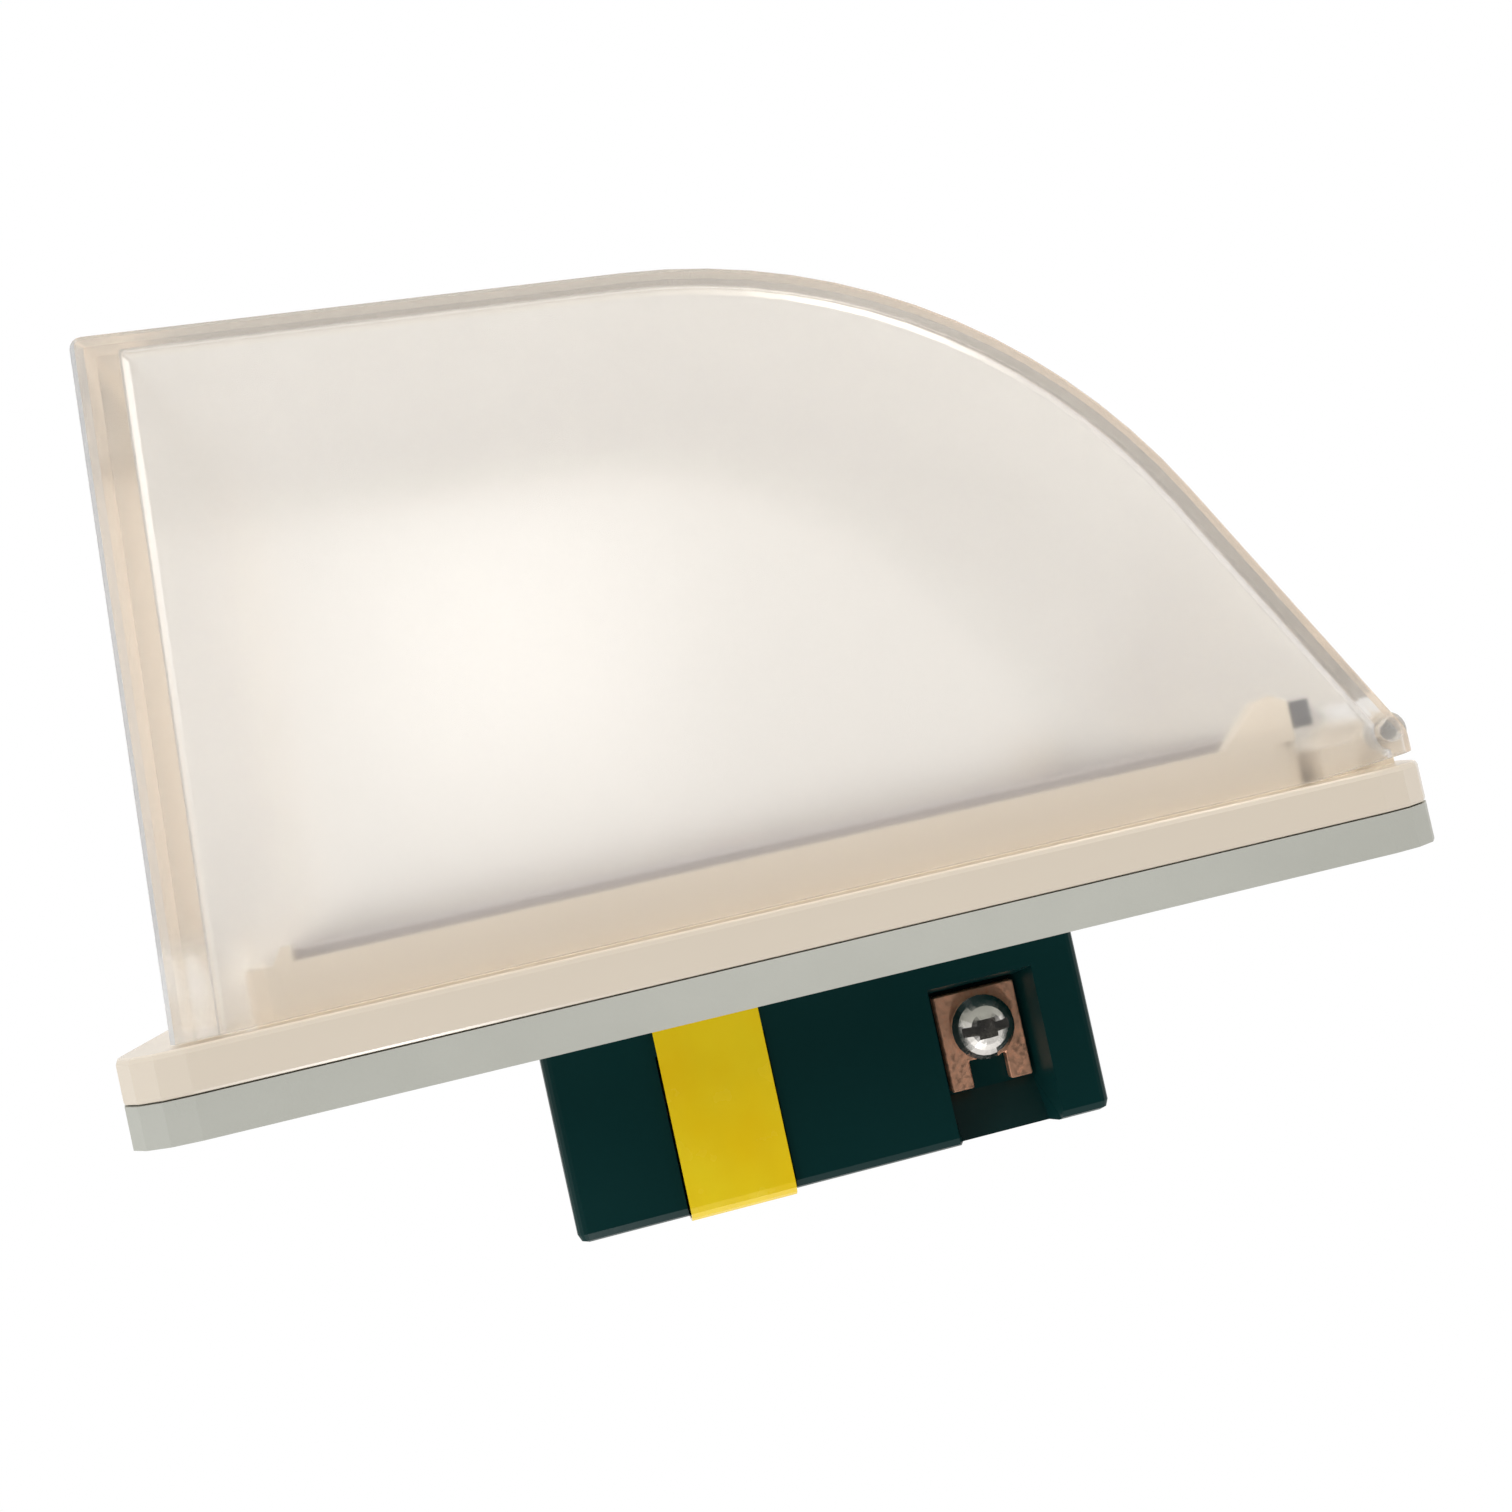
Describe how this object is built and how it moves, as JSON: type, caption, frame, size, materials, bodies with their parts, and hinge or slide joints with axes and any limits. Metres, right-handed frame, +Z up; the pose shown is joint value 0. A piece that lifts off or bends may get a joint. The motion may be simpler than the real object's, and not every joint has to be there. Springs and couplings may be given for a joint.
{
  "type": "weatherproof receptacle cover",
  "caption": "Frosted in-use cover hinged on a gasketed base frame, with a ground-fault receptacle, its terminals and its trip mechanism behind it.",
  "frame": {"origin": "centre of the gasket's back face, where it meets the wall", "axes": "+Z up the wall along the frame's long side towards the cover's hinge, -Y out of the wall towards the user, +X to the side"},
  "size_m": [0.096, 0.1091, 0.148],
  "materials": {
    "frosted_cover": "frosted translucent polycarbonate, clear moulded edges",
    "cream_plastic": "glossy",
    "grey_rubber": "matt foam rubber",
    "dark_rubber": "matt",
    "green_plastic": "glossy phenolic",
    "yellow_tape": "glossy film",
    "copper": "satin copper",
    "nickel": "bright nickel plate",
    "brass": "satin",
    "steel": "zinc plated",
    "green_zinc": "green zinc",
    "black_plastic": "satin",
    "red_plastic": "satin",
    "lens": "clear green",
    "board": "solder mask",
    "blue_epoxy": "dipped",
    "amber_film": "film"
  },
  "bodies": {
    "frame": {"assembly_screw_lower_left": "nickel", "assembly_screw_lower_right": "nickel", "assembly_screw_upper_left": "nickel", "assembly_screw_upper_right": "nickel", "back_body": "green_plastic", "base_frame": "cream_plastic", "circuit_board": "board", "ear_pad_left": "dark_rubber", "ear_pad_right": "dark_rubber", "face": "cream_plastic", "filter_capacitor": "amber_film", "frame_screw_bottom": "cream_plastic", "frame_screw_top": "cream_plastic", "ground_clip_lower": "brass", "ground_clip_upper": "brass", "hinge_pin": "steel", "hot_bus": "brass", "indicator_lens": "lens", "line_bracket_left": "brass", "line_bracket_right": "brass", "load_tape": "yellow_tape", "neutral_bus": "brass", "plunger_spring": "steel", "reset_spring": "steel", "rim_seal": "dark_rubber", "sense_transformer": "black_plastic", "shutter_spring_lower": "steel", "shutter_spring_upper": "steel", "solenoid_coil": "copper", "surge_disc": "blue_epoxy", "test_spring": "steel", "wall_gasket": "grey_rubber", "yoke": "steel"},
    "cover": {"cover_shell": "frosted_cover"},
    "test_button": {"test_button": "black_plastic"},
    "reset_button": {"reset_button": "red_plastic"},
    "shutter_upper": {"shutter_upper": "black_plastic"},
    "shutter_lower": {"shutter_lower": "black_plastic"},
    "contact_lifter": {"contact_lifter": "black_plastic"},
    "contact_arm_right": {"contact_arm_right": "copper"},
    "contact_arm_left": {"contact_arm_left": "copper"},
    "plunger": {"solenoid_plunger": "steel"},
    "trip_fork": {"trip_fork": "steel"},
    "ground_clamp": {"ground_clamp": "steel"},
    "ground_screw": {"ground_screw": "green_zinc"},
    "clamp_line_right": {"clamp_line_right": "copper"},
    "screw_line_right": {"terminal_screw_line_right": "nickel"},
    "clamp_line_left": {"clamp_line_left": "copper"},
    "screw_line_left": {"terminal_screw_line_left": "brass"},
    "clamp_load_right": {"clamp_load_right": "copper"},
    "screw_load_right": {"terminal_screw_load_right": "nickel"},
    "clamp_load_left": {"clamp_load_left": "copper"},
    "screw_load_left": {"terminal_screw_load_left": "brass"}
  },
  "joints": [
    {"name": "cover_hinge", "type": "hinge", "parent": "frame", "child": "cover", "pos_m": [0, -0.0133, 0.0699], "axis": [-1, 0, 0], "range_deg": [0, 120]},
    {"name": "test_press", "type": "slide", "parent": "frame", "child": "test_button", "axis": [0, 1, 0], "range_m": [0, 0.0012], "stiffness_N_per_m": 800, "deforming": ["test_spring"]},
    {"name": "reset_press", "type": "slide", "parent": "frame", "child": "reset_button", "axis": [0, 1, 0], "range_m": [0, 0.0012], "stiffness_N_per_m": 800, "deforming": ["reset_spring"]},
    {"name": "shutter_upper_slide", "type": "slide", "parent": "frame", "child": "shutter_upper", "axis": [1, 0, 0], "range_m": [0, 0.0028], "stiffness_N_per_m": 100, "deforming": ["shutter_spring_upper"]},
    {"name": "shutter_lower_slide", "type": "slide", "parent": "frame", "child": "shutter_lower", "axis": [1, 0, 0], "range_m": [0, 0.0028], "stiffness_N_per_m": 100, "deforming": ["shutter_spring_lower"]},
    {"name": "lifter_drop", "type": "slide", "parent": "frame", "child": "contact_lifter", "axis": [0, 1, 0], "range_m": [0, 0.0012]},
    {"name": "arm_right_swing", "type": "hinge", "parent": "frame", "child": "contact_arm_right", "pos_m": [0.0106, 0.0098, 0.015], "axis": [1, 0, 0], "range_deg": [0, 4.5]},
    {"name": "arm_left_swing", "type": "hinge", "parent": "frame", "child": "contact_arm_left", "pos_m": [-0.0106, 0.0098, 0.015], "axis": [1, 0, 0], "range_deg": [0, 4.5]},
    {"name": "plunger_pull", "type": "slide", "parent": "frame", "child": "plunger", "axis": [0, 0, 1], "range_m": [0, 0.0025], "stiffness_N_per_m": 200, "deforming": ["plunger_spring"]},
    {"name": "fork_pull", "type": "slide", "parent": "frame", "child": "trip_fork", "axis": [0, 0, 1], "range_m": [0, 0.0025]},
    {"name": "clamp_line_right_lift", "type": "slide", "parent": "frame", "child": "clamp_line_right", "axis": [1, 0, 0], "range_m": [0, 0.0016]},
    {"name": "screw_line_right_turn", "type": "hinge", "parent": "clamp_line_right", "child": "screw_line_right", "pos_m": [0.01745, 0.0127, 0.0226], "axis": [1, 0, 0], "range_deg": [0, 726]},
    {"name": "clamp_line_left_lift", "type": "slide", "parent": "frame", "child": "clamp_line_left", "axis": [-1, 0, 0], "range_m": [0, 0.0016]},
    {"name": "screw_line_left_turn", "type": "hinge", "parent": "clamp_line_left", "child": "screw_line_left", "pos_m": [-0.01745, 0.0127, 0.0226], "axis": [-1, 0, 0], "range_deg": [0, 726]},
    {"name": "clamp_load_right_lift", "type": "slide", "parent": "frame", "child": "clamp_load_right", "axis": [1, 0, 0], "range_m": [0, 0.0012]},
    {"name": "screw_load_right_turn", "type": "hinge", "parent": "clamp_load_right", "child": "screw_load_right", "pos_m": [0.01745, 0.0127, -0.0116], "axis": [1, 0, 0], "range_deg": [0, 545]},
    {"name": "clamp_load_left_lift", "type": "slide", "parent": "frame", "child": "clamp_load_left", "axis": [-1, 0, 0], "range_m": [0, 0.0012]},
    {"name": "screw_load_left_turn", "type": "hinge", "parent": "clamp_load_left", "child": "screw_load_left", "pos_m": [-0.01745, 0.0127, -0.0116], "axis": [-1, 0, 0], "range_deg": [0, 545]},
    {"name": "ground_clamp_lift", "type": "slide", "parent": "frame", "child": "ground_clamp", "axis": [0, 0, 1], "range_m": [0, 0.0015]},
    {"name": "ground_screw_turn", "type": "hinge", "parent": "ground_clamp", "child": "ground_screw", "pos_m": [0, 0.008, 0.03415], "axis": [0, 0, 1], "range_deg": [0, 681]}
  ],
  "couplings": [
    {"joint": "arm_right_swing", "follows": "lifter_drop", "rad_per_m": 64.5},
    {"joint": "arm_left_swing", "follows": "lifter_drop", "rad_per_m": 64.5},
    {"joint": "fork_pull", "follows": "plunger_pull", "ratio": 1},
    {"joint": "screw_line_right_turn", "follows": "clamp_line_right_lift", "rad_per_m": 7913.3},
    {"joint": "screw_line_left_turn", "follows": "clamp_line_left_lift", "rad_per_m": 7913.3},
    {"joint": "screw_load_right_turn", "follows": "clamp_load_right_lift", "rad_per_m": 7913.3},
    {"joint": "screw_load_left_turn", "follows": "clamp_load_left_lift", "rad_per_m": 7913.3},
    {"joint": "ground_screw_turn", "follows": "ground_clamp_lift", "rad_per_m": 7913.3}
  ]
}
